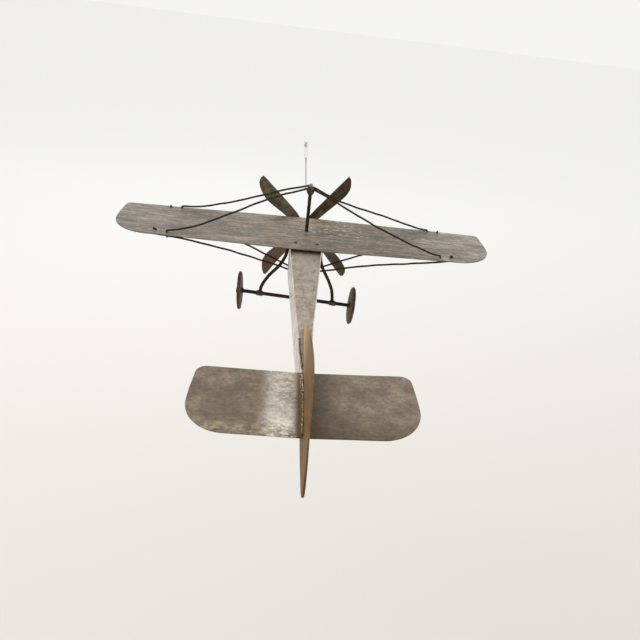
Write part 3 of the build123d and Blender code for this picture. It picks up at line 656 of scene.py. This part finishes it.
def wound(node, profile, turns, wire_radius, seed):
    """Turns of wire round the kingpost; profile pairs heights with outer radii, in the part's millimetres."""
    low = profile[0][0] + wire_radius
    high = profile[-1][0] - wire_radius

    def outer(height):
        for (z0, r0), (z1, r1) in zip(profile, profile[1:]):
            if height <= z1:
                return r0 + (r1 - r0) * (height - z0) / (z1 - z0)
        return profile[-1][1]

    line = []
    for i in range(int(turns * 20) + 1):
        t = i / (turns * 20)
        angle = 2 * pi * turns * t + seed
        slip = noise.noise(Vector((t * 9, seed, 0)))
        height = low + (high - low) * t + 0.35 * slip
        radius = outer(min(max(height, low), high)) - wire_radius - 0.12 + 0.22 * slip
        line.append(at(radius * cos(angle), MAST_Y + radius * sin(angle), height))
    coil = tube(line, lambda t: wire_radius * (1 + 0.08 * noise.noise(Vector((t * 40, seed, 1)))))
    core = lathe(ring_outline(MAST_RADIUS, [(r - wire_radius * 1.25, z) for z, r in profile]))
    core.transform(Matrix.Translation(at(0, MAST_Y, 0)))
    shell = merge(coil, core)
    roughen(shell, 0.1, 1.0, seed)
    return piece(node + "_turns", shell, node, BINDING_RUST if node == "mast_head_binding" else WIRE_RUST, 60.0)


def make_mast_ends():
    head = ((51, 3.0), (53, 4.2), (55.5, 5.4), (58, 5.4), (60.3, 4.6), (HEAD_TOP, 3.3))
    wound("mast_head_binding", head, 7.5, 0.8, 0.7)
    wound("mast_foot_binding", ((-69, 3.3), (-67, 4.4), (-59, 4.4), (-57, 3.3)), 7.5, 0.8, 2.1)
    cap = lathe([(0, 4.0), (0.8, 3.95), (1.6, 3.6), (2.2, 2.8), (2.5, 1.8), (2.4, 0.9), (2.1, 0.3), (2.3, 0.0),
                 (0, 0.0)])
    cap.transform(Matrix.Translation(at(0, MAST_Y, HEAD_TOP)))
    roughen(cap, 0.18, 1.6, 2.0)
    piece("mast_cap_knob", cap, "mast_cap", KNOB, 60.0)


def make_screws():
    """Round-headed screws, each with a driver slot cut across a domed head."""
    heads = None
    low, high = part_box("wing_screws")
    for x, turn in ((low[0] + 2.7 * MM, 0.5), (high[0] - 2.7 * MM, 2.1)):
        head = lathe([(0, 1.2), (0.2, 1.2), (0.35, 1.19), (0.5, 1.18), (0.9, 1.12), (1.3, 1.02), (1.7, 0.85),
                      (2.1, 0.62), (2.45, 0.34), (2.68, 0.1), (2.7, -0.02), (1.5, -0.03),
                      (1.5, -14.0), (0, -14.0)], 64)
        for vertex in head.verts:
            across = abs(vertex.co.x * sin(turn) - vertex.co.y * cos(turn))
            if across < 0.36 * MM and vertex.co.z > 0.3 * MM:
                vertex.co.z -= 0.55 * MM
        head.transform(Matrix.Translation(Vector((x, (low[1] + high[1]) / 2, -HEAD_Z * MM))))
        heads = head if heads is None else merge(heads, head)
    piece("wing_screw_heads", heads, "wing_screws", SCREW, 30.0)


# ---------------------------------------------------------------- wheels

def make_wheels():
    face = [(3.1, 2.5), (6.4, 2.45), (9, 2.6), (12, 2.72), (15, 2.74), (18, 2.62), (21, 2.36), (23.6, 2.04),
            (25.0, 1.86), (25.6, 1.6), (26.1, 1.72), (26.8, 1.9), (27.6, 1.74), (28.2, 1.25), (28.55, 0.55)]
    outline = [*face, (28.6, 0.0), *[(r, -h) for r, h in reversed(face)]]
    hub_face = [(2.9, 3.1), (4.6, 3.1), (5.2, 2.9), (5.5, 2.4)]
    hub = [*hub_face, *[(r, -h) for r, h in reversed(hub_face)]]
    for side, cant in (("left", -5.5), ("right", 0.0)):
        joint = JOINTS[f"{side}_wheel_spin"]
        tilt = atan2(joint["axis"][0], joint["axis"][2])
        disc = lathe([*outline, outline[0]], 96)
        disc.transform(Matrix.Rotation(tilt + radians(cant), 4, "Y"))
        middle = lathe([*hub, hub[0]], 64)
        middle.transform(Matrix.Rotation(tilt, 4, "Y"))
        shell = merge(disc, middle)
        shell.transform(Matrix.Translation(Vector(joint["pos_m"])))
        dent(shell, 0, 0.22, 13, cant)
        roughen(shell, 0.05, 2.5, cant)
        piece(f"{side}_wheel_disc", shell, f"{side}_wheel", WHEEL, 40.0)


# ---------------------------------------------------------------- propeller

BLADE_ROOT = 12.0
PITCH = 17.0
TWIST_START = 5.0
TWIST_END = 26.0
BLADES = {
    "upper_left": [(0, -6.0), (BLADE_ROOT, -6.0), (26, -8.4), (58, -8.9), (91, -9.0), (94.4, -7.6),
                   (95.2, -4.0), (93.2, 0.9), (89, 4.6), (82.4, 7.9), (75.5, 10.1), (66, 11.2), (55.9, 10.2),
                   (44.7, 8.6), (30, 6.8), (BLADE_ROOT, 6.0), (0, 6.0)],
    "lower_right": [(0, -6.0), (BLADE_ROOT, -4.4), (30, -3.8), (48.9, -4.6), (75.3, -8.0), (97, -10.3),
                    (99.7, -8.6), (99.9, -3.8), (95.8, 2.2), (90.6, 5.8), (81, 8.7), (69.6, 10.2), (59, 10.1),
                    (40, 8.4), (BLADE_ROOT, 6.0), (0, 6.0)],
    "upper_right": [(0, 6.0), (BLADE_ROOT, 6.0), (26, 8.2), (60, 8.7), (97.2, 8.8), (99.4, 7.2), (99, 3.1),
                    (94.7, -2.6), (90, -6.8), (84.1, -9.6), (76.9, -11), (67.2, -10.9), (55.9, -9.9),
                    (37.2, -8.1), (BLADE_ROOT, -6.0), (0, -6.0)],
    "lower_left": [(0, 6.0), (BLADE_ROOT, 6.0), (45.4, 7.4), (69.1, 8.6), (93, 10.9), (96.6, 10.2), (97.7, 8.4),
                   (96.4, 4.7), (92.1, -1.2), (85.6, -6.8), (79.5, -9.8), (69.2, -11.2), (53.1, -9.8),
                   (32, -7.6), (BLADE_ROOT, -6.0), (0, -6.0)],
}


def reach(outline, u):
    """Lowest and highest point across a blade, at the distance u from the hub."""
    crossings = []
    for (u0, v0), (u1, v1) in zip(outline, outline[1:]):
        if min(u0, u1) <= u <= max(u0, u1) and u0 != u1:
            crossings.append(v0 + (v1 - v0) * (u - u0) / (u1 - u0))
    return min(crossings), max(crossings)


def blade_sections(outline, steps=46):
    """Stations from the hub to the tip, closer together towards the tip: distance, low and high edge, twist."""
    smooth = [(p.x, p.y) for p in through([(u, v, 0) for u, v in outline], 10)]
    tip = max(u for u, v in smooth)
    for i in range(steps + 1):
        u = tip * (1 - (1 - i / steps) ** 1.8) * 0.9999
        low, high = reach(smooth, u)
        t = min(max((u - TWIST_START) / (TWIST_END - TWIST_START), 0.0), 1.0)
        yield u, low, high, radians(PITCH) * t * t * (3 - 2 * t)


def prop_bar(node, first, second, angle, middle_y):
    """Two blades lofted as one strip through the hub; the second blade is turned half round from the first."""
    half = 0.58
    across = 12
    opposite = reversed(list(blade_sections(BLADES[second])))
    sections = [(-u, -high, -low, -twist) for u, low, high, twist in opposite]
    sections += list(blade_sections(BLADES[first]))[1:]
    shell = bmesh.new()
    rings = []
    for u, low, high, twist in sections:
        ring = []
        for face in (1, -1):
            for k in range(across + 1) if face > 0 else range(across - 1, 0, -1):
                s = (1 - cos(pi * k / across)) / 2
                v = low + (high - low) * s
                crown = 0.22 * (1 - (2 * s - 1) ** 2) * min(abs(u) / 30, 1)
                w = face * half * sqrt(max(1 - abs(2 * s - 1) ** 10, 0.0)) + crown
                ring.append(shell.verts.new(Vector((u, v * cos(twist) - w * sin(twist),
                                                    v * sin(twist) + w * cos(twist))) * MM))
        rings.append(ring)
    count = len(rings[0])
    for lower, upper in zip(rings, rings[1:]):
        for k in range(count):
            j = (k + 1) % count
            shell.faces.new((lower[k], lower[j], upper[j], upper[k]))
    shell.faces.new(list(reversed(rings[0])))
    shell.faces.new(rings[-1])
    facing_back = Matrix(((1, 0, 0), (0, 0, -1), (0, 1, 0))).to_4x4()
    hub = joint_at("propeller_spin")
    place = Matrix.Translation(Vector((hub.x, middle_y, hub.z)))
    shell.transform(place @ facing_back @ Matrix.Rotation(radians(angle), 4, "Z"))
    bmesh.ops.recalc_face_normals(shell, faces=shell.faces)
    dent(shell, 1, 0.25, 24, angle)
    return piece(node + "_blades", shell, node, BLADE, 50.0)


def facing_nose(shell, low_y):
    """Turns a lathe shell so that its axis runs to the nose, with its base at low_y on the propeller's axis."""
    hub = joint_at("propeller_spin")
    shell.transform(Matrix.Translation(Vector((hub.x, low_y, hub.z))) @ Matrix.Rotation(radians(-90), 4, "X"))
    return shell


def make_propeller():
    bar = 1.2 * MM
    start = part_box("prop_spacer")[1][1] + 0.2 * MM
    prop_bar("prop_bar_left", "upper_left", "lower_right", 136.5, start + bar / 2)
    prop_bar("prop_bar_right", "upper_right", "lower_left", 51.0, start + bar * 1.5)
    boss = [(5.6, 0.0), (6.7, 0.15), (7.0, 0.6), (6.9, 1.1), (6.2, 1.45), (4.4, 1.6)]
    washer = facing_nose(lathe(ring_outline(1.7, boss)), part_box("prop_boss")[0][1])
    piece("prop_boss_washer", washer, "prop_boss", SCREW)
    spacer_low, spacer_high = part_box("prop_spacer")
    length = (spacer_high[1] - spacer_low[1]) / MM
    spacer = [(4.1, 0.0), (4.5, 0.35), (4.4, 0.9), (4.5, 1.5), (4.42, length / 2), (4.5, length - 0.4),
              (4.1, length)]
    ring = facing_nose(lathe(ring_outline(1.6, spacer)), spacer_low[1])
    piece("prop_spacer_ring", ring, "prop_spacer", SCREW)
    pin_low, pin_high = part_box("prop_pin")
    full = (pin_high[1] - pin_low[1]) / MM
    neck = full - 2.2
    pin = [(0, 0), (1.5, 0.1), (1.6, 0.3), (1.6, neck - 0.05), (3.3, neck), (3.6, neck + 0.5),
           (3.4, neck + 1.1), (2.7, neck + 1.7), (1.6, neck + 2.1), (0, full)]
    piece("prop_pin_head", facing_nose(lathe(pin), pin_low[1]), "prop_pin", SCREW)


# ---------------------------------------------------------------- hanger

HANG_UP = Vector((-0.083, 0.535, 0.841)).normalized()
HANG_ACROSS = Vector((0.9965, 0.0447, 0.0699))
LOOP_END = 52.7
LOOP_LOW = 35.4
LOOP_DIAMETER = 0.7


def hang(x, y, height):
    """A point of the hanger: millimetres across, sideways and up the hanging line from its pivot."""
    across = (HANG_ACROSS - HANG_UP * HANG_ACROSS.dot(HANG_UP)).normalized()
    return joint_at("hanger_swing") + (across * x + HANG_UP.cross(across) * y + HANG_UP * height) * MM


def make_hanger():
    shell = cells("hanger_wire", (0, 0, 1.0))
    roughen(shell, 0.05, 1.5, 1.0)
    piece("hanger_hook_wire", shell, "hanger_wire", HANGER_STEEL, 60.0)

    wraps = [hang(0.9 * cos(a) * (1 + 0.25 * sin(a * 0.7)) * 1.75, 1.55 * sin(a), 52.2 + 0.52 * a / 2.1)
             for a in [i * pi / 8 for i in range(58)]]
    coil = tube(wraps, lambda t: 0.42, 10)
    over = [(-0.7, 0.3, 51.6), (-1.7, 0.6, 53.4), (-0.2, 1.6, 55.4), (1.2, 0.4, 57.0), (0.3, -0.6, 57.1),
            (-1.3, -1.2, 55.2), (0.7, -0.3, 51.6)]
    crossing = tube(through([hang(*spot) for spot in over]), lambda t: 0.42, 10)
    knot = piece("loop_knot_wraps", merge(coil, crossing), "loop_knot", NYLON, 60.0)

    route = [(-0.7, LOOP_END), (-1.6, 46.8), (-1.3, 40.4), (-0.95, LOOP_LOW), (0.95, LOOP_LOW), (1.3, 40.8),
             (1.7, 46.2), (0.7, LOOP_END)]
    line = bpy.data.curves.new("hanging_loop_line", "CURVE")
    line.dimensions = "3D"
    spline = line.splines.new("NURBS")
    spline.points.add(len(route) - 1)
    for point, (x, height) in zip(spline.points, route):
        point.co = (*hang(x, 0, height), 1.0)
    spline.order_u = 3
    spline.use_endpoint_u = True
    spline.resolution_u = 16
    line.bevel_depth = LOOP_DIAMETER * MM / 2
    line.bevel_resolution = 4
    line.use_fill_caps = True
    line.materials.append(NYLON)
    loop = bpy.data.objects.new("hanging_loop_line", line)
    bpy.context.scene.collection.objects.link(loop)
    adopt(loop, "hanging_loop")


# ---------------------------------------------------------------- stage

def make_camera():
    """The camera's axes: rightwards, downwards and forwards in the row frame."""
    right = Vector((0.9939, -0.0169, 0.1089))
    down = Vector((0.083, -0.5347, -0.841))
    forward = Vector((0.0725, 0.8449, -0.53))
    lens = bpy.data.cameras.new("camera")
    lens.lens = 28.125
    lens.sensor_width = 36
    camera = bpy.data.objects.new("camera", lens)
    bpy.context.scene.collection.objects.link(camera)
    place = Matrix((right, -down, -forward)).transposed().to_4x4()
    place.translation = at(-21.1, -637.5, 262.6)
    camera.matrix_world = place
    bpy.context.scene.camera = camera


def make_lights():
    for name, spot, energy, size in (("key_softbox", (-1.7, 0.3, 1.8), 17, 1.4),
                                     ("fill_softbox", (1.8, -0.6, 1.4), 3, 1.8),
                                     ("back_softbox", (-0.3, 2.0, 1.6), 5, 2.0)):
        lamp = bpy.data.lights.new(name, "AREA")
        lamp.energy = energy
        lamp.size = size
        holder = bpy.data.objects.new(name, lamp)
        bpy.context.scene.collection.objects.link(holder)
        holder.location = spot
        holder.rotation_euler = (-Vector(spot)).to_track_quat("-Z", "Y").to_euler()
    world = bpy.data.worlds.new("soft_studio")
    bpy.context.scene.world = world
    world.use_nodes = True
    background = world.node_tree.nodes["Background"]
    background.inputs["Color"].default_value = (1.0, 0.995, 0.985, 1.0)
    background.inputs["Strength"].default_value = 0.91
    bpy.context.scene.view_settings.view_transform = "Standard"


def make_floor():
    """A pale floor that is wide enough to reach the horizon."""
    reach_m = 30.0
    depth_m = -0.9
    shell = bmesh.new()
    corners = [shell.verts.new((x * reach_m, y * reach_m, depth_m))
               for x, y in ((-1, -1), (1, -1), (1, 1), (-1, 1))]
    shell.faces.new(corners)
    mesh = bpy.data.meshes.new("floor")
    shell.to_mesh(mesh)
    shell.free()
    f = Finish("floor_pale")
    # Painted shade and light: the floor darkens towards the camera and lightens far off, standing in for uneven
    # lighting.
    far = f.level(f.xyz[1], -0.6, 3.0)
    painted_falloff = f.ramp(far, (0.0, (222, 219, 213)), (0.35, (234, 232, 228)), (1.0, (249, 249, 247)))
    mesh.materials.append(f.done(painted_falloff, 0.0, 0.9))
    floor = bpy.data.objects.new("floor", mesh)
    bpy.context.scene.collection.objects.link(floor)


make_camera()
make_hanger()
make_lights()
make_floor()
make_sheets()
make_blocks()
make_rods()
make_solder()
make_mast_ends()
make_screws()
make_wheels()
make_propeller()
